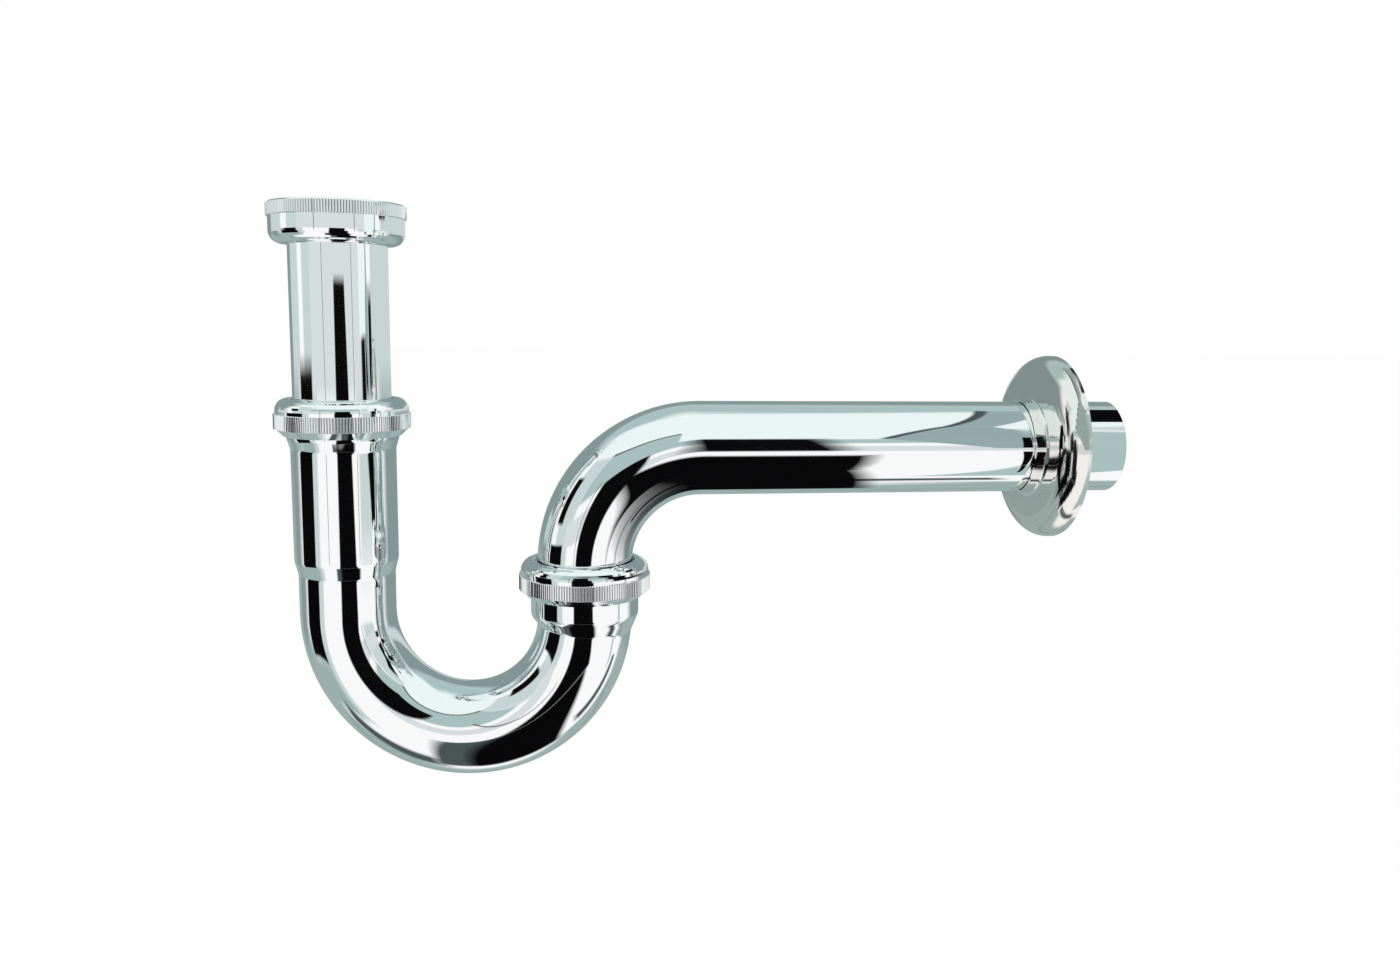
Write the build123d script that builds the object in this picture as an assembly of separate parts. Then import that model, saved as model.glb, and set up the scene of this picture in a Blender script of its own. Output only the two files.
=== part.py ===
from build123d import *
import math
import os

# Chrome tubular trap for a washbasin: an inlet tube with a union nut, a U-bend with two slip
# joints, an outlet bend and a wall rosette. Millimetres and degrees.
# Frame: the outlet runs along +X and meets the wall plane at the origin, and +Z is up.

# Tube and layout
tube_od = 32.0
tube_wall = 0.9
u_bend_radius = 41.0
outlet_bend_radius = 39.0
outlet_rise = 57.5  # outlet axis above the centre of the U-bend
wall_reach = 166.0  # outlet leg axis to the wall
outlet_stub = 21.5  # tube end past the wall
swivel_angle = 10.8  # U-bend turned about the outlet leg
inlet_height = 137.0  # mouth of the inlet union nut above the centre of the U-bend
inlet_insertion = 35.0  # inlet tube below the rim of its socket
outlet_insertion = 13.0  # outlet leg below the rim of its bell
insertion_mark_width = 1.0
insertion_mark_depth = 0.25
insertion_mark_setback = 1.0  # from the wall plane, under the rosette

# Clearances
running_gap = 0.3  # between round faces that turn or slide
seat_gap = 0.15  # between flat faces that are screwed together
nut_hole_gap = 1.0  # round the tube in the hole of a nut

# Formed ends of the U-bend
inlet_joint_height = 60.7  # mouth of the inlet slip nut above the centre of the U-bend
outlet_joint_height = 7.3  # mouth of the outlet slip nut, likewise
bell_expansion = 4.6  # bell diameter over the tube
socket_step_height = 13.4  # where the inlet leg starts to widen into the socket
socket_step_length = 4.8
socket_step_fillet = 4.0
flare_length = 3.6  # from the socket to the bell
flare_drop = 0.9  # straight bell below the mouth of the nut
flare_fillet = 3.0
outlet_flare_length = 5.3
outlet_flare_start = -4.4  # on the outlet leg, above the centre of the U-bend
outlet_flare_inset = 0.6  # start of the flare inside the surface of the tube
outlet_flare_fillet = 4.0

# Knurled nuts
nut_wall = 2.225  # round the thread of the union nut
band_rise = 0.6  # knurled band over the body of the nut
rib_pitch = 0.9
rib_depth = 0.4
hole_rounding = 0.6
slip_nut_height = 12.5
slip_nut_rim_drop = 2.5  # rim inside the body of the nut
slip_nut_bevel = 2.4
slip_nut_band = 5.1
slip_nut_dome = 3.8
union_nut_height = 13.3
union_nut_rim_drop = 0.3
union_nut_bevel = 0.5
union_nut_band = 4.1
union_nut_dome = 4.0
union_thread_rise = 6.95  # core of the G 1 1/4 inside thread over the tube
union_shoulder = 2.4  # thickness of the nut round its hole
union_undercut_depth = 0.7
union_undercut_length = 3.9
union_thread_chamfer = 0.8

# Seals and rings of the slip joints
neck_engagement = 6.2  # bell inside the nut
seal_flange = 2.0
seal_skirt = 4.0
seal_tip = 0.5  # thickness of the skirt at its tip
slip_ring_thickness = 1.0

# Flanged top of the inlet tube and its washer
flange_gap = 0.575  # flange inside the thread core
flange_fillet = 0.8
washer_gap = 0.275  # washer inside the thread core
washer_overhang = 0.2  # washer bore outside the tube bore
washer_thickness = 2.2

# Wall rosette, pressed from sheet
rosette_cover = 15.3  # width of the face and edge round the neck
rosette_depth = 8.4
rosette_neck = 4.1
rosette_sheet = 0.7
rosette_edge = 7.2  # broad rounding from the face to the rim
rosette_neck_fillet = 0.8

# Sizes that follow
tube_r = tube_od / 2
bell_r = (tube_od + bell_expansion) / 2
socket_r = tube_r + running_gap + tube_wall
nut_hole_r = tube_r + nut_hole_gap
slip_thread_r = bell_r + running_gap
union_thread_r = (tube_od + union_thread_rise) / 2
nut_body_r = union_thread_r + nut_wall
band_r = nut_body_r + band_rise
flange_r = union_thread_r - flange_gap
washer_r = union_thread_r - washer_gap
rosette_neck_r = tube_r + running_gap + rosette_sheet
rosette_r = rosette_neck_r + rosette_cover
leg_spacing = 2 * u_bend_radius
inlet_rim = inlet_joint_height + neck_engagement
outlet_rim = outlet_joint_height + neck_engagement
joint_stack = neck_engagement + seal_flange + slip_ring_thickness + 3 * seat_gap

# Places of the legs, at the height of the centre of the U-bend
outlet_leg = Pos(-wall_reach, 0, -outlet_rise)
u_bend_place = outlet_leg * Rot(0, 0, -swivel_angle)
inlet_leg = u_bend_place * Pos(-leg_spacing, 0, 0)


def turned(*outline):
    """Solid of revolution about Z from (radius, height, corner fillet) points."""
    points = [(radius, height) for radius, height, _ in outline]
    fillets = [corner for _, _, corner in outline]
    profile = make_face(Plane.XZ * FilletPolyline(*points, radius=fillets, close=True))
    return revolve(profile, Axis.Z)


def ring(inner_r, outer_r, base, height):
    """Plain ring about Z."""
    return turned(
        (inner_r, base, 0),
        (outer_r, base, 0),
        (outer_r, base + height, 0),
        (inner_r, base + height, 0),
    )


def knurled_nut(height, rim_drop, bevel, band_height, dome_radius, bore):
    """Nut with its mouth at the bottom: a bevel, a straight-knurled band and a domed top."""
    blank = turned(
        (0, 0, 0),
        (nut_body_r - rim_drop, 0, 0),
        (nut_body_r, bevel, 0),
        (nut_body_r, height, dome_radius),
        (0, height, 0),
    )
    ribs = round(2 * math.pi * band_r / rib_pitch)
    radii = (band_r, band_r - rib_depth)
    corners = []
    for index in range(2 * ribs):
        angle = math.pi * index / ribs
        corners.append((radii[index % 2] * math.cos(angle), radii[index % 2] * math.sin(angle)))
    knurl = make_face(Polyline(*corners, close=True))
    band = Pos(0, 0, bevel) * extrude(knurl, band_height)
    nut = blank + band - bore
    top_circles = nut.edges().filter_by(GeomType.CIRCLE).group_by(Axis.Z)[-1]
    return fillet(top_circles.sort_by(SortBy.RADIUS)[0], hole_rounding)


def slip_nut():
    """Nut of a slip joint: it presses the ring and the seal onto the rim of the bell."""
    bore = turned(
        (0, -seat_gap, 0),
        (slip_thread_r, -seat_gap, 0),
        (slip_thread_r, joint_stack, 0),
        (nut_hole_r, joint_stack, 0),
        (nut_hole_r, slip_nut_height + seat_gap, 0),
        (0, slip_nut_height + seat_gap, 0),
    )
    return knurled_nut(
        slip_nut_height, slip_nut_rim_drop, slip_nut_bevel, slip_nut_band, slip_nut_dome, bore
    )


def union_nut():
    """Nut of the inlet, mouth up, with an undercut behind its thread for the flange and washer."""
    undercut_r = union_thread_r + union_undercut_depth
    shoulder = union_nut_height - union_shoulder
    thread_end = shoulder - union_undercut_length
    mouth_r = union_thread_r + union_thread_chamfer
    bore = turned(
        (0, 0, 0),
        (mouth_r, 0, 0),
        (union_thread_r, union_thread_chamfer, 0),
        (union_thread_r, thread_end, 0),
        (undercut_r, thread_end, 0),
        (undercut_r, shoulder, 0),
        (nut_hole_r, shoulder, 0),
        (nut_hole_r, union_nut_height + seat_gap, 0),
        (0, union_nut_height + seat_gap, 0),
    )
    nut = knurled_nut(
        union_nut_height, union_nut_rim_drop, union_nut_bevel, union_nut_band, union_nut_dome, bore
    )
    return Rot(180, 0, 0) * nut


def cone_seal():
    """Rubber seal: a flange on the rim of the bell and a tapered skirt inside the bell."""
    inner_r = tube_r + running_gap
    bell_bore_r = bell_r - tube_wall
    return turned(
        (inner_r, -seal_skirt, 0),
        (inner_r + seal_tip, -seal_skirt, 0),
        (bell_bore_r - running_gap, 0, 0),
        (bell_r, 0, 0),
        (bell_r, seal_flange, 0),
        (inner_r, seal_flange, 0),
    )


def slip_ring():
    """Flat ring between the seal and the nut."""
    return ring(tube_r + running_gap, bell_r, 0, slip_ring_thickness)


def u_bend_form(inset, overrun):
    """The U-bend's outside, or its waterway when inset by the wall."""
    pipe_r = tube_r - inset
    step_top = socket_step_height + socket_step_length
    flare_top = inlet_joint_height - flare_drop
    inlet_side = turned(
        (0, 0, 0),
        (pipe_r, 0, 0),
        (pipe_r, socket_step_height, socket_step_fillet),
        (socket_r - inset, step_top, socket_step_fillet),
        (socket_r - inset, flare_top - flare_length, flare_fillet),
        (bell_r - inset, flare_top, flare_fillet),
        (bell_r - inset, inlet_rim + overrun, 0),
        (0, inlet_rim + overrun, 0),
    )
    bend_axis = Axis((-u_bend_radius, 0, 0), (0, 1, 0))
    bend = revolve(make_face(Circle(pipe_r).edges()), bend_axis, revolution_arc=180)
    outlet_side = turned(
        (0, outlet_flare_start, 0),
        (pipe_r - outlet_flare_inset, outlet_flare_start, 0),
        (bell_r - inset, outlet_flare_start + outlet_flare_length, outlet_flare_fillet),
        (bell_r - inset, outlet_rim + overrun, 0),
        (0, outlet_rim + overrun, 0),
    )
    return bend + Pos(-leg_spacing, 0, 0) * inlet_side + outlet_side


def u_bend():
    """Tube bent to a U, with an expanded socket on the inlet leg and a bell on each end."""
    return u_bend_form(0, 0) - u_bend_form(tube_wall, tube_wall)


def inlet_tube():
    """Straight tube that slides in the socket, with a flange turned out at its top."""
    bore_r = tube_r - tube_wall
    foot = inlet_rim - inlet_insertion
    flange_base = inlet_height - union_nut_height + union_shoulder + seat_gap
    flange_top = flange_base + tube_wall
    return turned(
        (bore_r, foot, 0),
        (tube_r, foot, 0),
        (tube_r, flange_base, flange_fillet),
        (flange_r, flange_base, 0),
        (flange_r, flange_top, 0),
        (bore_r, flange_top, flange_fillet),
    )


def inlet_washer():
    """Flat rubber washer on the flange of the inlet tube."""
    base = inlet_height - union_nut_height + union_shoulder + seat_gap + tube_wall
    return ring(tube_r - tube_wall + washer_overhang, washer_r, base, washer_thickness)


def outlet_bend():
    """Tube from the outlet bell, round a quarter bend and straight through the wall."""
    foot = outlet_rim - outlet_insertion - outlet_rise
    path = FilletPolyline(
        (-wall_reach, 0, foot),
        (-wall_reach, 0, 0),
        (outlet_stub, 0, 0),
        radius=outlet_bend_radius,
    )
    start = Plane(origin=(-wall_reach, 0, foot), z_dir=(0, 0, 1))
    section = start * (Circle(tube_r) - Circle(tube_r - tube_wall))
    mark_start = -insertion_mark_setback - insertion_mark_width
    mark_section = Circle(tube_r) - Circle(tube_r - insertion_mark_depth)
    mark = extrude(Plane.YZ.offset(mark_start) * mark_section, insertion_mark_width)
    return sweep(section, path) - mark


def wall_rosette():
    """Domed cover pressed from sheet, with a neck on the tube and its open rim on the wall."""
    skin = FilletPolyline(
        (rosette_neck_r, -rosette_depth - rosette_neck),
        (rosette_neck_r, -rosette_depth),
        (rosette_r, -rosette_depth),
        (rosette_r, 0),
        radius=[rosette_neck_fillet, rosette_edge],
    )
    sheet = make_face(offset(skin, rosette_sheet, side=Side.LEFT))
    return Rot(0, 90, 0) * revolve(Plane.XZ * sheet, Axis.Z)


inlet_joint = inlet_leg * Pos(0, 0, inlet_joint_height)
outlet_joint = outlet_leg * Pos(0, 0, outlet_joint_height)
seal_seat = Pos(0, 0, neck_engagement + seat_gap)
ring_seat = seal_seat * Pos(0, 0, seal_flange + seat_gap)

nodes = {
    "inlet_union_nut": inlet_leg * Pos(0, 0, inlet_height) * union_nut(),
    "inlet_washer": inlet_leg * inlet_washer(),
    "inlet_tube": inlet_leg * inlet_tube(),
    "inlet_slip_nut": inlet_joint * slip_nut(),
    "inlet_slip_ring": inlet_joint * ring_seat * slip_ring(),
    "inlet_cone_seal": inlet_joint * seal_seat * cone_seal(),
    "u_bend": u_bend_place * u_bend(),
    "outlet_slip_nut": outlet_joint * slip_nut(),
    "outlet_slip_ring": outlet_joint * ring_seat * slip_ring(),
    "outlet_cone_seal": outlet_joint * seal_seat * cone_seal(),
    "outlet_bend": outlet_bend(),
    "wall_rosette": wall_rosette(),
}

os.makedirs("parts", exist_ok=True)
for name, piece in nodes.items():
    export_step(piece, f"parts/{name}.step")
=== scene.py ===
import itertools
import math

import bpy
import numpy as np
from mathutils import Matrix, Vector


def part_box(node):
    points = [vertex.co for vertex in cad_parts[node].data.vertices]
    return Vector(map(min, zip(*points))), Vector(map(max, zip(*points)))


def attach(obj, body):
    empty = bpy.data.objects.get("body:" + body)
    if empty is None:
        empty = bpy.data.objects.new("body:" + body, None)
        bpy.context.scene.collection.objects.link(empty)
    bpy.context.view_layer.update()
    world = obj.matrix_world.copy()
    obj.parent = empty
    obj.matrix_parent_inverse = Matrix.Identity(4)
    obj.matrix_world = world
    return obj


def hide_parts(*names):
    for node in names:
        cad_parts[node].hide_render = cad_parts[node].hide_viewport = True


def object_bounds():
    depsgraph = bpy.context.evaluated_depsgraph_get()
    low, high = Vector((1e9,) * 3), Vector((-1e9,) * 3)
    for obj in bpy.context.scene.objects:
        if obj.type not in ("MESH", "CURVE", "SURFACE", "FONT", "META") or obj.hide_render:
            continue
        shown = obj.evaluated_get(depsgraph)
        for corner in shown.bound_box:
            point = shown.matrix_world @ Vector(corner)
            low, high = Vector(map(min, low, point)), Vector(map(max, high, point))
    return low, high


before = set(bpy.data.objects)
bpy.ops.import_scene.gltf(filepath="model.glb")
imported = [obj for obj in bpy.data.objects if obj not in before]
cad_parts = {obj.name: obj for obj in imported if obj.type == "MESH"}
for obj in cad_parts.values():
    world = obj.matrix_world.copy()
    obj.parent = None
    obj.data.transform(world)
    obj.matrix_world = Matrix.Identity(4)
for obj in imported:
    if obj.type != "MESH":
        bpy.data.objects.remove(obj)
cad_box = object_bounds()

MM = 0.001
X, Y, Z = 0, 1, 2
UP = Vector((0, 0, 1))
TO_WALL = Vector((1, 0, 0))
TO_BACK = Vector((0, 1, 0))

# Clearances
running_gap = 0.3 * MM  # between round faces that turn or slide
seat_gap = 0.15 * MM  # between flat faces that are screwed together
nut_hole_gap = 1.0 * MM  # round the tube in the hole of a nut

# Tubes
tube_wall = 0.9 * MM
end_softening = 0.25 * MM
outlet_radius = 39.0 * MM
insertion_mark_width = 1.0 * MM
insertion_mark_depth = 0.25 * MM
insertion_mark_setback = 1.0 * MM  # from the wall plane, under the rosette
insertion_mark_flank = 0.01 * MM
flange_fillet = 0.8 * MM

# Forms of the U-bend
socket_step_height = 13.4 * MM  # where the inlet leg starts to widen into the socket
socket_step_length = 4.8 * MM
socket_step_fillet = 4.0 * MM
flare_length = 3.6 * MM  # from the socket to the bell
flare_drop = 0.9 * MM  # straight bell below the mouth of the nut
flare_fillet = 3.0 * MM
outlet_flare_start = -3.6 * MM  # on the outlet leg, above the centre of the U-bend
outlet_flare_end = 0.9 * MM
outlet_flare_foot_fillet = 2.0 * MM
outlet_flare_fillet = 4.0 * MM
seal_skirt = 4.0 * MM  # skirt of the cone seal, which hangs in the bell

# Nuts
union_thread_r = 19.475 * MM  # core of the inside thread
union_thread_pitch = 2.309 * MM
union_thread_depth = 1.25 * MM
nut_wall = 2.225 * MM  # round the thread of the union nut
nut_body_r = union_thread_r + nut_wall
band_rise = 0.6 * MM  # knurled band over the body of the nut
band_r = nut_body_r + band_rise
rib_pitch = 0.9 * MM
rib_depth = 0.5 * MM
rib_shape = (1.0, 0.3, 0.0, 0.0, 0.3)  # depth across one rib, as shares of the groove
rib_lead = 0.15 * MM  # softened end of a rib, along the nut
rib_ease = 0.2 * MM  # and across it
rim_rounding = 0.2 * MM
hole_rounding = 0.6 * MM
slip_nut_rim_drop = 2.5 * MM  # rim inside the body of the nut
slip_nut_bevel = 2.4 * MM
slip_nut_bevel_rounding = 0.3 * MM
slip_nut_band = 5.1 * MM
slip_nut_dome = 3.8 * MM
union_nut_rim_drop = 0.3 * MM
union_nut_bevel = 0.5 * MM
union_nut_bevel_rounding = 0.1 * MM
union_nut_band = 4.1 * MM
union_nut_dome = 4.0 * MM
union_shoulder = 2.4 * MM  # thickness of the nut round its hole
union_undercut_depth = 0.7 * MM
union_undercut_length = 3.9 * MM
union_thread_chamfer = 0.8 * MM

# Rosette
rosette_sheet = 0.7 * MM
rosette_depth = 8.4 * MM
rosette_edge = 7.2 * MM  # broad rounding from the face to the rim
rosette_neck_fillet = 0.8 * MM

# Fineness of the meshes
u_bend_steps = 120
outlet_bend_steps = 70
pipe_segments = 160
inlet_tube_segments = 192
rosette_segments = 256
rosette_fillet_steps = 24
thread_rows = 44


# Sizes and places, read from the frame


def extent(node, axis):
    """Size of a node's box along an axis."""
    low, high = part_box(node)
    return high[axis] - low[axis]


def bottom_of(node):
    """Height of the lowest point of a node."""
    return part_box(node)[0][Z]


def top_of(node):
    """Height of the highest point of a node."""
    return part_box(node)[1][Z]


def foot_of_axis(node):
    """Point at height zero on the upright axis of a turned node."""
    low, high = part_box(node)
    middle = (Vector(low) + Vector(high)) / 2
    middle.z = 0.0
    return middle


outlet_leg = foot_of_axis("outlet_slip_nut")
inlet_leg = foot_of_axis("inlet_slip_nut")
leg_direction = (inlet_leg - outlet_leg).normalized()

tube_r = extent("outlet_bend", Y) / 2
bell_r = extent("inlet_cone_seal", X) / 2
socket_r = tube_r + running_gap + tube_wall
nut_hole_r = tube_r + nut_hole_gap
rosette_neck_r = tube_r + running_gap + rosette_sheet
u_radius = (inlet_leg - outlet_leg).length / 2
u_centre_z = bottom_of("u_bend") + u_radius + tube_r

inlet_rim = top_of("u_bend")
outlet_rim = bottom_of("outlet_cone_seal") + seal_skirt - seat_gap
inlet_mouth = bottom_of("inlet_slip_nut")
slip_nut_shoulder = top_of("inlet_slip_ring") + seat_gap - inlet_mouth


# Outlines and meshes


def rounded(corners, closed, steps=8):
    """Points of an outline given as (a, b, fillet) corners, with each fillet as an arc."""
    points = []
    count = len(corners)
    for index, (a, b, fillet) in enumerate(corners):
        here = Vector((a, b))
        inner = closed or 0 < index < count - 1
        if fillet <= 0 or not inner:
            points.append((a, b))
            continue
        before = Vector(corners[index - 1][:2]) - here
        after = Vector(corners[(index + 1) % count][:2]) - here
        half = before.angle(after) / 2
        reach = fillet / math.tan(half)
        start = here + before.normalized() * reach
        end = here + after.normalized() * reach
        inward = (before.normalized() + after.normalized()).normalized()
        centre = here + inward * (fillet / math.sin(half))
        turn = math.pi - 2 * half
        side = 1 if (start - centre).cross(end - centre) > 0 else -1
        spoke = start - centre
        for step in range(steps + 1):
            angle = side * turn * step / steps
            points.append((
                centre.x + spoke.x * math.cos(angle) - spoke.y * math.sin(angle),
                centre.y + spoke.x * math.sin(angle) + spoke.y * math.cos(angle),
            ))
    return points


def held(points, closed, hold=0.03 * MM, shortest=0.4 * MM):
    """The same outline with points added near the ends of its straight runs, so they shade flat."""
    result = []
    count = len(points)
    for index, point in enumerate(points):
        result.append(tuple(point))
        if index == count - 1 and not closed:
            break
        here = Vector(point)
        run = Vector(points[(index + 1) % count]) - here
        if run.length > shortest:
            step = run.normalized() * hold
            result.append(tuple(here + step))
            result.append(tuple(here + run - step))
    return result


def thickened(points, sheet):
    """Closed outline of a sheet whose skin runs through the points, with the sheet on its left."""
    line = np.array(points)
    runs = np.gradient(line, axis=0)
    left = np.stack([-runs[:, 1], runs[:, 0]], axis=1)
    left /= np.linalg.norm(left, axis=1)[:, None]
    return [tuple(point) for point in line] + [tuple(point) for point in (line + sheet * left)[::-1]]


def spokes(segments, side, across):
    """Unit vectors all round a circle, from side towards across."""
    angles = np.linspace(0, 2 * math.pi, segments, endpoint=False)
    return np.cos(angles)[:, None] * np.array(side) + np.sin(angles)[:, None] * np.array(across)


def grid_object(name, grid, sharp_degrees=30.0):
    """Mesh object from rings of points. Each ring joins to the next, and the last to the first."""
    rings, columns = grid.shape[:2]
    mesh = bpy.data.meshes.new(name)
    faces = []
    for ring in range(rings):
        here = ring * columns
        there = ((ring + 1) % rings) * columns
        for column in range(columns):
            beside = (column + 1) % columns
            faces.append((here + column, here + beside, there + beside, there + column))
    mesh.from_pydata(grid.reshape(-1, 3).tolist(), [], faces)
    mesh.update()
    mesh.polygons.foreach_set("use_smooth", [True] * len(mesh.polygons))
    mesh.set_sharp_from_angle(angle=math.radians(sharp_degrees))
    piece = bpy.data.objects.new(name, mesh)
    bpy.context.scene.collection.objects.link(piece)
    return piece


def mark(mesh, name, shares):
    """Share from 0 to 1 at each point of a mesh, for its material to read."""
    attribute = mesh.attributes.new(name, "FLOAT", "POINT")
    attribute.data.foreach_set("value", shares)


def lathe(name, outline, place, axis, segments, inside_r=0.0):
    """Closed outline of (radius, height) turned about an axis, marked inside up to a radius."""
    side = axis.orthogonal().normalized()
    circle = spokes(segments, side, axis.cross(side))
    outline = held(outline, closed=True)
    rings = [np.array(place) + radius * circle + height * np.array(axis) for radius, height in outline]
    piece = grid_object(name, np.stack(rings))
    mark(piece.data, "inside", np.repeat([float(radius < inside_r) for radius, _ in outline], segments))
    return piece


# Bent tubes


def pipe(name, stations, across):
    """Tube wall round stations of (centre, direction, outer radius) in the plane square to across."""
    outer = []
    inner = []
    for centre, direction, radius in stations:
        circle = spokes(pipe_segments, across.cross(direction), across)
        outer.append(np.array(centre) + radius * circle)
        inner.append(np.array(centre) + (radius - tube_wall) * circle)
    piece = grid_object(name, np.stack(outer + inner[::-1]))
    mark(piece.data, "inside", np.repeat([0.0, 1.0], len(stations) * pipe_segments))
    return piece


def stations_along(profile, bend_start, bend_length, bend_steps, place_at):
    """Stations of a bent tube: the (radius, travel) points of its profile, and steps round its bend."""
    profile = held(profile, closed=False)
    bend = [bend_start + bend_length * step / bend_steps for step in range(bend_steps + 1)]
    radii, known = zip(*profile)
    travels = sorted({round(travel, 7) for travel in (*known, *bend)})
    return [(*place_at(travel), float(np.interp(travel, known, radii))) for travel in travels]


def u_bend():
    """The formed U-bend: socket, flare and bell on the inlet leg, and a bell on the outlet leg."""
    inlet_length = inlet_rim - u_centre_z
    arc_length = math.pi * u_radius
    outlet_start = inlet_length + arc_length
    total = outlet_start + outlet_rim - u_centre_z
    centre = (inlet_leg + outlet_leg) / 2 + UP * u_centre_z
    flare_top = inlet_rim - inlet_mouth + flare_drop
    step_low = inlet_length - socket_step_height
    profile = rounded([
        (bell_r, 0, 0),
        (bell_r, flare_top, flare_fillet),
        (socket_r, flare_top + flare_length, flare_fillet),
        (socket_r, step_low - socket_step_length, socket_step_fillet),
        (tube_r, step_low, socket_step_fillet),
        (tube_r, outlet_start + outlet_flare_start, outlet_flare_foot_fillet),
        (bell_r, outlet_start + outlet_flare_end, outlet_flare_fillet),
        (bell_r, total, 0),
    ], closed=False)

    def place_at(travel):
        if travel < inlet_length:
            return inlet_leg + UP * (inlet_rim - travel), -UP
        if travel > outlet_start:
            return outlet_leg + UP * (u_centre_z + travel - outlet_start), UP
        angle = (travel - inlet_length) / u_radius
        spoke = leg_direction * math.cos(angle) - UP * math.sin(angle)
        tangent = -leg_direction * math.sin(angle) - UP * math.cos(angle)
        return centre + spoke * u_radius, tangent

    stations = stations_along(profile, inlet_length, arc_length, u_bend_steps, place_at)
    return pipe("u_bend_formed", stations, leg_direction.cross(UP))


def outlet_bend():
    """Outlet leg, quarter bend and straight tube, with softened ends and an insertion mark."""
    foot = bottom_of("outlet_bend")
    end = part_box("outlet_bend")[1][X]
    leg_length = -outlet_radius - foot
    arc_length = math.pi / 2 * outlet_radius
    straight_start = leg_length + arc_length
    straight_x = outlet_leg.x + outlet_radius
    total = straight_start + end - straight_x
    mark_end = total - end - insertion_mark_setback
    mark_start = mark_end - insertion_mark_width
    profile = [
        (tube_r - end_softening, 0),
        (tube_r, end_softening),
        (tube_r, mark_start - insertion_mark_flank),
        (tube_r - insertion_mark_depth, mark_start),
        (tube_r - insertion_mark_depth, mark_end),
        (tube_r, mark_end + insertion_mark_flank),
        (tube_r, total - end_softening),
        (tube_r - end_softening, total),
    ]
    centre = outlet_leg + Vector((outlet_radius, 0, -outlet_radius))

    def place_at(travel):
        if travel < leg_length:
            return outlet_leg + UP * (foot + travel), UP
        if travel > straight_start:
            return Vector((straight_x + travel - straight_start, 0, 0)), TO_WALL
        angle = (travel - leg_length) / outlet_radius
        spoke = -TO_WALL * math.cos(angle) + UP * math.sin(angle)
        tangent = TO_WALL * math.sin(angle) + UP * math.cos(angle)
        return centre + spoke * outlet_radius, tangent

    stations = stations_along(profile, leg_length, arc_length, outlet_bend_steps, place_at)
    return pipe("outlet_bend_tube", stations, TO_BACK)


# Turned pieces


def inlet_tube():
    """Straight tube with its flange."""
    low = bottom_of("inlet_tube")
    high = top_of("inlet_tube")
    bore_r = tube_r - tube_wall
    flange_r = extent("inlet_tube", X) / 2
    under = high - tube_wall
    outline = rounded([
        (bore_r, low, end_softening),
        (tube_r, low, end_softening),
        (tube_r, under, flange_fillet),
        (flange_r, under, end_softening),
        (flange_r, high, end_softening),
        (bore_r, high, flange_fillet),
    ], closed=True)
    inside_r = bore_r + tube_wall / 4
    return lathe("inlet_tube_turned", outline, inlet_leg, UP, inlet_tube_segments, inside_r)


def wall_rosette():
    """Domed cover: neck, flat crown, broad rounded edge and open rim."""
    low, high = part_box("wall_rosette")
    edge_r = extent("wall_rosette", Y) / 2
    crown = high[X] - rosette_depth
    skin = rounded([
        (rosette_neck_r, low[X], 0),
        (rosette_neck_r, crown, rosette_neck_fillet),
        (edge_r, crown, rosette_edge),
        (edge_r, high[X], 0),
    ], closed=False, steps=rosette_fillet_steps)
    outline = thickened(held(skin, closed=False), rosette_sheet)
    return lathe("wall_rosette_pressed", outline, Vector((0, 0, 0)), TO_WALL, rosette_segments)


# Nuts


def nut_object(name, rows, place, up):
    """Nut from (radius, height, relief) rows, where relief cuts grooves or a thread into a row."""
    rib_count = round(2 * math.pi * band_r / rib_pitch)
    groove = np.tile(rib_shape, rib_count)
    segments = len(groove)
    turns = np.arange(segments) / segments
    circle = spokes(segments, TO_WALL, up.cross(TO_WALL))
    rings = []
    depths = []
    for radius, height, relief in rows:
        depth = groove if relief == "ribs" else np.zeros(segments)
        radii = radius - rib_depth * depth
        if relief == "thread":
            turn = height / union_thread_pitch + turns
            radii = radii + union_thread_depth * (1 - np.abs(2 * (turn % 1.0) - 1))
        rings.append(np.array(place) + radii[:, None] * circle + height * np.array(up))
        depths.append(depth)
    piece = grid_object(name, np.stack(rings))
    # groove depth, which the knurled material also turns into painted shade in the groove bottoms
    mark(piece.data, "groove", np.concatenate(depths))
    return piece


def plain(points):
    """Rows of an outline with no relief."""
    return [(radius, height, "") for radius, height in held(points, closed=False)]


def nut_rows(height, mouth_r, rim_drop, bevel, bevel_rounding, band, dome, bore):
    """Rows of a knurled nut from its mouth, up the outside and down through its hole."""
    band_top = bevel + band
    rim = rounded([
        (mouth_r, 0, 0),
        (nut_body_r - rim_drop, 0, rim_rounding),
        (nut_body_r, bevel, bevel_rounding),
        (nut_body_r, band_top, 0),
    ], closed=False)
    ribs = [
        (band_r - rib_ease, bevel, "ribs"),
        (band_r, bevel + rib_lead, "ribs"),
        (band_r, band_top - rib_lead, "ribs"),
        (band_r - rib_ease, band_top, "ribs"),
    ]
    crown = rounded([
        (nut_body_r, band_top, 0),
        (nut_body_r, height, dome),
        (nut_hole_r, height, hole_rounding),
        *((radius, level, 0) for radius, level in bore),
    ], closed=False)
    return plain(rim[:-1]) + ribs + plain(crown)


def slip_nut(name, node, place):
    """Knurled slip nut, mouth down."""
    thread_r = bell_r + running_gap
    rows = nut_rows(
        height=extent(node, Z),
        mouth_r=thread_r,
        rim_drop=slip_nut_rim_drop,
        bevel=slip_nut_bevel,
        bevel_rounding=slip_nut_bevel_rounding,
        band=slip_nut_band,
        dome=slip_nut_dome,
        bore=[(nut_hole_r, slip_nut_shoulder), (thread_r, slip_nut_shoulder)],
    )
    return nut_object(name, rows, place + UP * bottom_of(node), UP)


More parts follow.
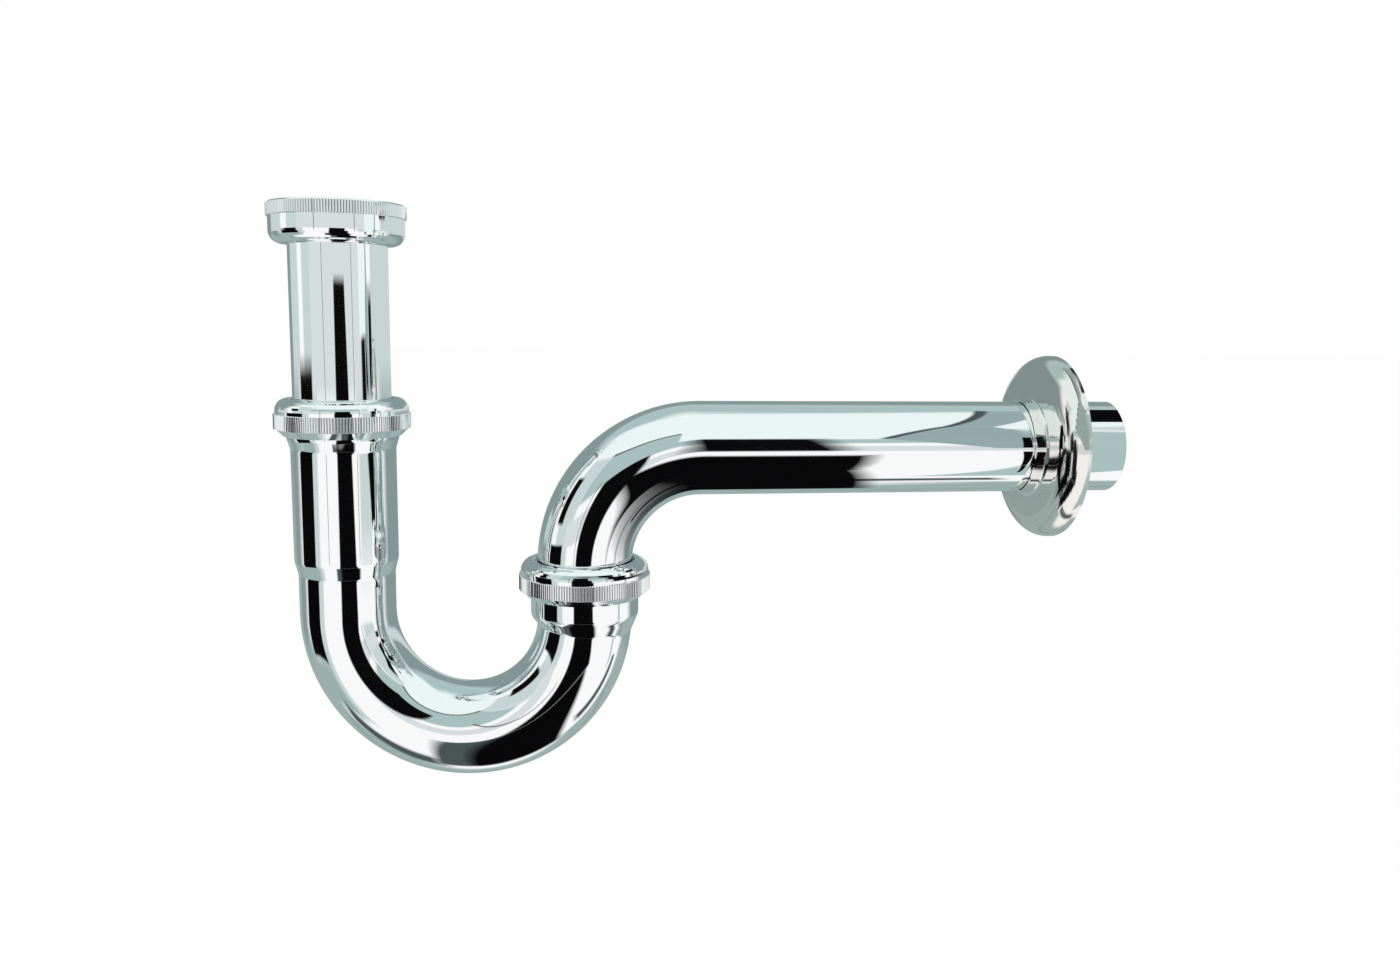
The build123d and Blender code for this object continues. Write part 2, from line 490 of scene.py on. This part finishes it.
def union_nut():
    """Knurled inlet nut, mouth up, with its inside thread."""
    height = extent("inlet_union_nut", Z)
    shoulder = height - union_shoulder
    undercut_r = union_thread_r + union_undercut_depth
    thread_end = shoulder - union_undercut_length
    rows = nut_rows(
        height=height,
        mouth_r=union_thread_r + union_thread_chamfer,
        rim_drop=union_nut_rim_drop,
        bevel=union_nut_bevel,
        bevel_rounding=union_nut_bevel_rounding,
        band=union_nut_band,
        dome=union_nut_dome,
        bore=[(nut_hole_r, shoulder), (undercut_r, shoulder), (undercut_r, thread_end)],
    )
    for row in range(thread_rows + 1):
        level = thread_end + (union_thread_chamfer - thread_end) * row / thread_rows
        rows.append((union_thread_r, level, "thread"))
    return nut_object("inlet_union_nut_knurled", rows, inlet_leg + UP * top_of("inlet_union_nut"), -UP)


# Materials

chrome_tone = (0.93, 0.945, 0.95)
bare_brass = (0.62, 0.56, 0.45)
# painted shade: dark grey in the bottoms of the knurl's grooves, where the chrome lies in shade
groove_painted_shade = (0.3, 0.31, 0.32)
neck_tone = (0.90, 0.915, 0.915)
face_tone = (0.88, 0.85, 0.82)
rubber_tone = (0.022, 0.022, 0.024)
nylon_tone = (0.82, 0.82, 0.78)

noise_low = 0.3  # greys between which a noise texture mostly lies
noise_high = 0.7
brass_and_shade_start = 0.4  # share of a mark where the plate starts to turn to bare brass inside the tubes and to painted shade in the knurl's grooves
neck_polish = 0.04  # roughness of the rosette's neck
face_polish = 0.09  # and of its face
face_start = rosette_neck_r + 0.05 * MM  # radius where the polish starts to fade
face_full = rosette_neck_r + 1.4 * MM  # and where the face has its own finish
turning_scale = 9000.0  # turning marks over a metre of radius
turning_depth = 0.02  # change of roughness by the turning marks


def principled(name, colour, metallic, roughness):
    """New material with its main shader set."""
    material = bpy.data.materials.new(name)
    material.use_nodes = True
    shader = material.node_tree.nodes["Principled BSDF"]
    shader.inputs["Base Color"].default_value = (*colour, 1)
    shader.inputs["Metallic"].default_value = metallic
    shader.inputs["Roughness"].default_value = roughness
    return material, shader


def noise_to(material, scale, detail, low, high, socket):
    """Noise over the piece that moves a shader's value between two levels."""
    nodes = material.node_tree.nodes
    links = material.node_tree.links
    coordinates = nodes.new("ShaderNodeTexCoord")
    texture = nodes.new("ShaderNodeTexNoise")
    texture.inputs["Scale"].default_value = scale
    texture.inputs["Detail"].default_value = detail
    spread = nodes.new("ShaderNodeMapRange")
    spread.inputs["From Min"].default_value = noise_low
    spread.inputs["From Max"].default_value = noise_high
    spread.inputs["To Min"].default_value = low
    spread.inputs["To Max"].default_value = high
    links.new(coordinates.outputs["Object"], texture.inputs["Vector"])
    links.new(texture.outputs["Fac"], spread.inputs["Value"])
    links.new(spread.outputs["Result"], socket)


def chrome_material(name, marked, brass_and_shade_tone, dulling):
    """Polished chrome plate with faint wiping marks, rougher where the mesh is marked and there turning
    to the given tone: bare brass inside the tubes, painted shade in the knurl's grooves.
    """
    material, shader = principled(name, chrome_tone, metallic=1.0, roughness=0.03)
    nodes = material.node_tree.nodes
    links = material.node_tree.links
    share = nodes.new("ShaderNodeAttribute")
    share.attribute_name = marked
    plate = nodes.new("ShaderNodeValToRGB")
    # the marked end of the ramp: bare brass inside the tubes, painted shade in the knurl's grooves
    bright, brass_and_shade_colour = plate.color_ramp.elements
    bright.position = brass_and_shade_start
    bright.color = (*chrome_tone, 1)
    brass_and_shade_colour.color = (*brass_and_shade_tone, 1)
    roughen = nodes.new("ShaderNodeMath")
    roughen.operation = "MULTIPLY_ADD"
    roughen.inputs[1].default_value = dulling
    noise_to(material, scale=90.0, detail=4.0, low=0.02, high=0.05, socket=roughen.inputs[2])
    links.new(share.outputs["Fac"], plate.inputs["Fac"])
    links.new(share.outputs["Fac"], roughen.inputs[0])
    links.new(plate.outputs["Color"], shader.inputs["Base Color"])
    links.new(roughen.outputs["Value"], shader.inputs["Roughness"])
    return material


def satin_material():
    """Satin stainless sheet: polished at the neck and finely turned on the face."""
    material, shader = principled("satin_steel", face_tone, metallic=1.0, roughness=face_polish)
    nodes = material.node_tree.nodes
    links = material.node_tree.links
    coordinates = nodes.new("ShaderNodeTexCoord")
    flatten = nodes.new("ShaderNodeVectorMath")
    flatten.operation = "MULTIPLY"
    flatten.inputs[1].default_value = (0, 1, 1)
    distance = nodes.new("ShaderNodeVectorMath")
    distance.operation = "LENGTH"
    polish = nodes.new("ShaderNodeMapRange")
    polish.interpolation_type = "SMOOTHSTEP"
    polish.inputs["From Min"].default_value = face_start
    polish.inputs["From Max"].default_value = face_full
    polish.inputs["To Min"].default_value = neck_polish
    polish.inputs["To Max"].default_value = face_polish
    turning = nodes.new("ShaderNodeTexNoise")
    turning.noise_dimensions = "1D"
    turning.inputs["Scale"].default_value = turning_scale
    turning.inputs["Detail"].default_value = 2.0
    marks = nodes.new("ShaderNodeMapRange")
    marks.inputs["To Min"].default_value = -turning_depth
    marks.inputs["To Max"].default_value = turning_depth
    both = nodes.new("ShaderNodeMath")
    both.operation = "ADD"
    tint = nodes.new("ShaderNodeValToRGB")
    neck, face = tint.color_ramp.elements
    neck.position = neck_polish
    neck.color = (*neck_tone, 1)
    face.position = face_polish
    face.color = (*face_tone, 1)
    links.new(coordinates.outputs["Object"], flatten.inputs[0])
    links.new(flatten.outputs["Vector"], distance.inputs[0])
    links.new(distance.outputs["Value"], polish.inputs["Value"])
    links.new(distance.outputs["Value"], turning.inputs["W"])
    links.new(turning.outputs["Fac"], marks.inputs["Value"])
    links.new(polish.outputs["Result"], tint.inputs["Fac"])
    links.new(tint.outputs["Color"], shader.inputs["Base Color"])
    links.new(polish.outputs["Result"], both.inputs[0])
    links.new(marks.outputs["Result"], both.inputs[1])
    links.new(both.outputs["Value"], shader.inputs["Roughness"])
    return material


def rubber_material():
    """Black moulded rubber with a dusty bloom."""
    material, shader = principled("black_rubber", rubber_tone, metallic=0.0, roughness=0.6)
    noise_to(material, scale=400.0, detail=5.0, low=0.5, high=0.72, socket=shader.inputs["Roughness"])
    return material


def nylon_material():
    """White moulded plastic of the slip rings."""
    material, shader = principled("white_nylon", nylon_tone, metallic=0.0, roughness=0.45)
    noise_to(material, scale=250.0, detail=3.0, low=0.38, high=0.52, socket=shader.inputs["Roughness"])
    return material


# Pieces, each with its finish


def dress(piece, material, body, node):
    """Give a new piece its finish and its body, and hide the node that it stands for."""
    piece.data.materials.append(material)
    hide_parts(node)
    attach(piece, body)


def finish_node(node, material):
    """A carried-over node takes a material in its slots."""
    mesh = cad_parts[node].data
    mesh.materials.clear()
    mesh.materials.append(material)


chrome = chrome_material("polished_chrome", "inside", bare_brass, dulling=0.4)
# painted shade: the bottoms of the knurl's grooves turn dark grey
knurled = chrome_material("knurled_chrome", "groove", groove_painted_shade, dulling=0.05)
satin = satin_material()
rubber = rubber_material()
nylon = nylon_material()

dress(u_bend(), chrome, "trap", "u_bend")
dress(outlet_bend(), chrome, "outlet", "outlet_bend")
dress(inlet_tube(), chrome, "inlet", "inlet_tube")
inlet_nut = slip_nut("inlet_slip_nut_knurled", "inlet_slip_nut", inlet_leg)
dress(inlet_nut, knurled, "inlet_nut", "inlet_slip_nut")
outlet_nut = slip_nut("outlet_slip_nut_knurled", "outlet_slip_nut", outlet_leg)
dress(outlet_nut, knurled, "outlet_nut", "outlet_slip_nut")
dress(union_nut(), knurled, "union_nut", "inlet_union_nut")
dress(wall_rosette(), satin, "rosette", "wall_rosette")
for node in ("inlet_washer", "inlet_cone_seal", "outlet_cone_seal"):
    finish_node(node, rubber)
for node in ("inlet_slip_ring", "outlet_slip_ring"):
    finish_node(node, nylon)

# Studio: cards and flags in the white surroundings, seen only in reflections

studio_centre = Vector((outlet_leg.x + 30 * MM, 0, -20 * MM))
far_radius = 6.0
far_layer_gap = 0.05
far_layers = itertools.count(1)
far_spacing = 4  # degrees between the points of a far card
near_spacing = 40  # millimetres between the points of a near or flat card


def tone(red, green, blue):
    """Linear colour of a tone as it looks on the screen."""
    return [((level + 0.055) / 1.055) ** 2.4 for level in (red, green, blue)]


def card_material(name, colour):
    """Plain glowing card that thins out where its cover falls to nothing."""
    material = bpy.data.materials.new(name)
    material.use_nodes = True
    nodes = material.node_tree.nodes
    links = material.node_tree.links
    nodes.clear()
    output = nodes.new("ShaderNodeOutputMaterial")
    cover = nodes.new("ShaderNodeAttribute")
    cover.attribute_name = "cover"
    clear = nodes.new("ShaderNodeBsdfTransparent")
    glow = nodes.new("ShaderNodeEmission")
    glow.inputs["Color"].default_value = (*colour, 1)
    mix = nodes.new("ShaderNodeMixShader")
    links.new(cover.outputs["Fac"], mix.inputs[0])
    links.new(clear.outputs["BSDF"], mix.inputs[1])
    links.new(glow.outputs["Emission"], mix.inputs[2])
    links.new(mix.outputs["Shader"], output.inputs["Surface"])
    return material


def soft_steps(low, high, soft, spacing):
    """Steps across a card with its cover: a soft border on each side."""
    inside = max(2, int((high - low - 2 * soft) / spacing) + 2)
    steps = np.linspace(low + soft, high - soft, inside)
    return [(low - soft, 0.0)] + [(step, 1.0) for step in steps] + [(high + soft, 0.0)]


def card(name, colour, columns, rows, place):
    """Card over columns and rows of (value, cover), where place gives the point of a value pair."""
    points = [place(column, row) for row, _ in rows for column, _ in columns]
    covers = [min(column_cover, row_cover) for _, row_cover in rows for _, column_cover in columns]
    width = len(columns)
    faces = []
    for row in range(len(rows) - 1):
        for column in range(width - 1):
            corner = row * width + column
            faces.append((corner, corner + 1, corner + width + 1, corner + width))
    mesh = bpy.data.meshes.new(name)
    mesh.from_pydata(points, [], faces)
    mark(mesh, "cover", covers)
    mesh.materials.append(card_material(name, colour))
    flag = bpy.data.objects.new(name, mesh)
    bpy.context.scene.collection.objects.link(flag)
    flag.visible_camera = False
    flag.visible_diffuse = False
    flag.visible_shadow = False


def far_card(name, colour, azimuths, elevations, soft):
    """Part of a far sphere, in degrees from the -Y side towards +X. Later cards lie in front."""
    radius = far_radius - far_layer_gap * next(far_layers)

    def place(azimuth, elevation):
        flat = math.cos(math.radians(elevation))
        direction = Vector((
            math.sin(math.radians(azimuth)) * flat,
            -math.cos(math.radians(azimuth)) * flat,
            math.sin(math.radians(elevation)),
        ))
        return studio_centre + direction * radius

    columns = soft_steps(*azimuths, soft, far_spacing)
    rows = soft_steps(*elevations, soft, far_spacing)
    card(name, colour, columns, rows, place)


def slanted_card(name, colour, first, last, span, soft, side_soft, point):
    """Card in millimetres whose side edges run from the first (left, right) pair to the last."""
    def place(share, distance):
        run = (distance - span[0]) / (span[1] - span[0])
        left = first[0] + (last[0] - first[0]) * run
        right = first[1] + (last[1] - first[1]) * run
        return point(left + (right - left) * share, distance) * MM

    width = last[1] - last[0]
    sides = soft_steps(0, width, side_soft or soft, width)
    columns = [(step / width, cover) for step, cover in sides]
    card(name, colour, columns, soft_steps(*span, soft, near_spacing), place)


def near_card(name, colour, depth, heights, top, bottom, soft, side_soft=None):
    """Upright card in front of the object, with its side edges at the top and at the bottom."""
    def point(across, height):
        return Vector((across, -depth, height))

    slanted_card(name, colour, bottom, top, heights, soft, side_soft, point)


def flat_card(name, colour, level, depths, front, back, soft, side_soft=None):
    """Flat card over or under the object, with its side edges at the front and at the back."""
    def point(across, depth):
        return Vector((across, depth, level))

    slanted_card(name, colour, front, back, depths, soft, side_soft, point)


black = tone(0.035, 0.035, 0.04)
dark = tone(0.3, 0.34, 0.34)
back_grey = tone(0.53, 0.6, 0.595)
wedge_grey = tone(0.6, 0.68, 0.67)
low_grey = tone(0.63, 0.7, 0.69)
high_grey = tone(0.68, 0.77, 0.76)
soft_grey = tone(0.8, 0.85, 0.845)
horizon_grey = tone(0.86, 0.885, 0.89)
pale_cyan = tone(0.945, 0.985, 0.98)

# Walls, ceiling and horizon, with the dark flags and lines on them
far_card("overhead", pale_cyan, azimuths=(-180, 180), elevations=(46, 88), soft=1)
far_card("back", back_grey, azimuths=(105, 255), elevations=(-45, 48), soft=8)
far_card("back_low", low_grey, azimuths=(100, 260), elevations=(-68, -22), soft=5)
far_card("back_high", high_grey, azimuths=(118, 242), elevations=(44, 78), soft=8)
far_card("back_step", low_grey, azimuths=(190, 228), elevations=(-24, -8), soft=4)
far_card("upper_front", high_grey, azimuths=(-52, 38), elevations=(15, 43), soft=1.5)
far_card("upper_line", dark, azimuths=(-52, 38), elevations=(42.5, 45), soft=0.8)
far_card("left_wall", soft_grey, azimuths=(-84, -52), elevations=(-40, 44), soft=2)
far_card("right_wall", soft_grey, azimuths=(40, 66), elevations=(-12, 46), soft=2)
far_card("low_left", low_grey, azimuths=(-125, -62), elevations=(-42, -24), soft=4)
far_card("horizon_front", horizon_grey, azimuths=(-62, 66), elevations=(-3.5, 8), soft=0.7)
far_card("horizon_right", soft_grey, azimuths=(84, 182), elevations=(-3.5, 8), soft=2)
far_card("horizon_left", soft_grey, azimuths=(230, 262), elevations=(-3.5, 8), soft=2)
far_card("left_flag", black, azimuths=(-100, -64), elevations=(-25, -1.7), soft=0.6)
far_card("left_flag_high", black, azimuths=(-91, -76), elevations=(8, 32), soft=1)
far_card("right_flag", black, azimuths=(66, 84), elevations=(-3.5, 2), soft=0.7)
far_card("right_flag_high", black, azimuths=(63.5, 71), elevations=(8, 42), soft=1)
far_card("line_left", dark, azimuths=(-32.1, -31.1), elevations=(-12, 20), soft=0.3)
far_card("line_right", dark, azimuths=(35.1, 36.1), elevations=(-12, 20), soft=0.3)

# Dark bands along the legs and the outlet tube
near_card("leg_flag", black, depth=230, heights=(-190, 62), soft=3,
          top=(-265, -163), bottom=(-285, -90))
near_card("outlet_flag_high", black, depth=75, heights=(-3, 34), soft=2, side_soft=7,
          top=(-125, -70), bottom=(-125, -60))
near_card("outlet_flag_front", black, depth=45, heights=(-48, -8.5), soft=1.5, side_soft=5,
          top=(-160, -60), bottom=(-127, -60))

# The bright field over the outlet tube and the grey wedge beside it
near_card("outlet_white", pale_cyan, depth=77, heights=(33.5, 102), soft=1.5,
          top=(-135, 1), bottom=(-135, -43))
near_card("wedge_low", wedge_grey, depth=75, heights=(3, 33.5), soft=0.5,
          top=(-43, 24), bottom=(2, 24))
near_card("wedge_high", wedge_grey, depth=75, heights=(33.5, 102), soft=0.5,
          top=(1, 24), bottom=(-43, 24))
near_card("wedge_line", dark, depth=74, heights=(33.5, 102), soft=1,
          top=(-2, 3), bottom=(-46, -41))
flat_card("wedge_top", wedge_grey, level=102, depths=(-75, 20), soft=1,
          front=(1, 24), back=(11, 40))
flat_card("wedge_top_line", dark, level=101, depths=(-75, 20), soft=1,
          front=(-2, 3), back=(7, 13))

# Dark blocks in the rosette's face
near_card("rosette_flag_high", black, depth=25, heights=(1.7, 10), soft=0.2,
          top=(-11.8, -8.5), bottom=(-12.3, -8.5))
near_card("rosette_flag_low", black, depth=25, heights=(-14, -1.1), soft=0.2,
          top=(-12.3, -8.5), bottom=(-10.4, -8.5))
near_card("rosette_flag_foot", black, depth=25, heights=(-30, -13.9), soft=0.2,
          top=(-10.4, -8.5), bottom=(-6, -5))

# Grey and black on the tube end behind the rosette
near_card("stub_card", high_grey, depth=75, heights=(-220, 60), soft=3,
          top=(24, 90), bottom=(24, 90))
flat_card("stub_flag", black, level=100, depths=(-45, 30), soft=1,
          front=(38, 95), back=(38, 95))

# Dark undersides of the outlet tube and the U-bend
flat_card("outlet_flag_under", black, level=-44, depths=(-49, 10), soft=1.5, side_soft=5,
          front=(-127, -60), back=(-127, -60))
flat_card("bend_flag", black, level=-190, depths=(-230, 5), soft=5,
          front=(-285, -105), back=(-215, -140))
flat_card("bend_shade", dark, level=-192, depths=(-232, 5), soft=5,
          front=(-325, -255), back=(-243, -190))
flat_card("strip_left", dark, level=-190, depths=(-25, 15), soft=8,
          front=(-380, -250), back=(-345, -235))
flat_card("strip_right", dark, level=-190, depths=(-42, -16), soft=6,
          front=(-115, 60), back=(-115, 60))

# Floor, world and lamp

room_light = 0.9  # strength of the white room where it only lights the object
room_white = 1.0  # and where it is seen or reflected
floor_drop = 45 * MM
floor_reach = 8.0
floor_glow = 0.9  # share of plain white in the floor that the camera sees


def white_world():
    """White room, a little dimmer as plain light than where it is seen or reflected."""
    world = bpy.data.worlds.new("studio")
    world.use_nodes = True
    nodes = world.node_tree.nodes
    links = world.node_tree.links
    background = nodes["Background"]
    path = nodes.new("ShaderNodeLightPath")
    seen = nodes.new("ShaderNodeMath")
    seen.operation = "MAXIMUM"
    seen_through = nodes.new("ShaderNodeMath")
    seen_through.operation = "MAXIMUM"
    level = nodes.new("ShaderNodeMapRange")
    level.inputs["To Min"].default_value = room_light
    level.inputs["To Max"].default_value = room_white
    links.new(path.outputs["Is Camera Ray"], seen.inputs[0])
    links.new(path.outputs["Is Glossy Ray"], seen.inputs[1])
    links.new(seen.outputs[0], seen_through.inputs[0])
    links.new(path.outputs["Is Transmission Ray"], seen_through.inputs[1])
    links.new(seen_through.outputs[0], level.inputs["Value"])
    links.new(level.outputs["Result"], background.inputs["Strength"])
    background.inputs["Color"].default_value = (1, 1, 1, 1)
    bpy.context.scene.world = world


def floor_material():
    """Matt white that glows to the camera and keeps a soft shadow."""
    material, shader = principled("pale_floor", (1, 1, 1), metallic=0.0, roughness=0.9)
    shader.inputs["Specular IOR Level"].default_value = 0.0
    nodes = material.node_tree.nodes
    links = material.node_tree.links
    path = nodes.new("ShaderNodeLightPath")
    glow = nodes.new("ShaderNodeEmission")
    glow.inputs["Color"].default_value = (1, 1, 1, 1)
    mix = nodes.new("ShaderNodeMixShader")
    share = nodes.new("ShaderNodeMath")
    share.operation = "MULTIPLY"
    share.inputs[1].default_value = floor_glow
    links.new(path.outputs["Is Camera Ray"], share.inputs[0])
    links.new(share.outputs[0], mix.inputs[0])
    links.new(shader.outputs["BSDF"], mix.inputs[1])
    links.new(glow.outputs["Emission"], mix.inputs[2])
    links.new(mix.outputs["Shader"], nodes["Material Output"].inputs["Surface"])
    return material


def pale_floor():
    """Wide floor below the object."""
    level = cad_box[0][Z] - floor_drop
    signs = [(-1, -1), (1, -1), (1, 1), (-1, 1)]
    corners = [(floor_reach * x_sign, floor_reach * y_sign, level) for x_sign, y_sign in signs]
    mesh = bpy.data.meshes.new("floor")
    mesh.from_pydata(corners, [], [(0, 1, 2, 3)])
    mesh.materials.append(floor_material())
    floor = bpy.data.objects.new("floor", mesh)
    bpy.context.scene.collection.objects.link(floor)
    floor.visible_glossy = False


def soft_lamp(name, place, target, size, power):
    """Square lamp that lights the floor and the object and doesn't show in reflections."""
    light = bpy.data.lights.new(name, "AREA")
    light.size = size
    light.energy = power
    lamp = bpy.data.objects.new(name, light)
    lamp.location = place
    lamp.rotation_euler = (target - Vector(place)).to_track_quat("-Z", "Y").to_euler()
    lamp.visible_glossy = False
    bpy.context.scene.collection.objects.link(lamp)


white_world()
pale_floor()
soft_lamp("key", place=(-0.6, -0.9, 1.2), target=studio_centre, size=1.0, power=9.0)

# Camera, fitted to the tube edges in the photograph

photo_width = 1400
focal_pixels = 1136.7
sensor_width = 36.0
camera_yaw = math.radians(9.043)
camera_pitch = math.radians(7.921)
camera_roll = math.radians(0.759)
camera_from_leg = Vector((-21.37, -382.12, 100.12)) * MM  # from the outlet end of the U


def photo_camera():
    """Camera that stands and looks as the photograph's did."""
    data = bpy.data.cameras.new("photo")
    data.sensor_width = sensor_width
    data.sensor_fit = "HORIZONTAL"
    data.lens = focal_pixels * sensor_width / photo_width
    camera = bpy.data.objects.new("photo", data)
    forward = Vector((
        math.sin(camera_yaw) * math.cos(camera_pitch),
        math.cos(camera_yaw) * math.cos(camera_pitch),
        -math.sin(camera_pitch),
    ))
    right = Vector((math.cos(camera_yaw), -math.sin(camera_yaw), 0))
    above = right.cross(forward)
    tilted_right = right * math.cos(camera_roll) + above * math.sin(camera_roll)
    tilted_above = above * math.cos(camera_roll) - right * math.sin(camera_roll)
    turn = Matrix((tilted_right, tilted_above, -forward)).transposed().to_4x4()
    place = outlet_leg + UP * u_centre_z + camera_from_leg
    camera.matrix_world = Matrix.Translation(place) @ turn
    bpy.context.scene.collection.objects.link(camera)
    bpy.context.scene.camera = camera


photo_camera()
bpy.context.scene.view_settings.view_transform = "Standard"
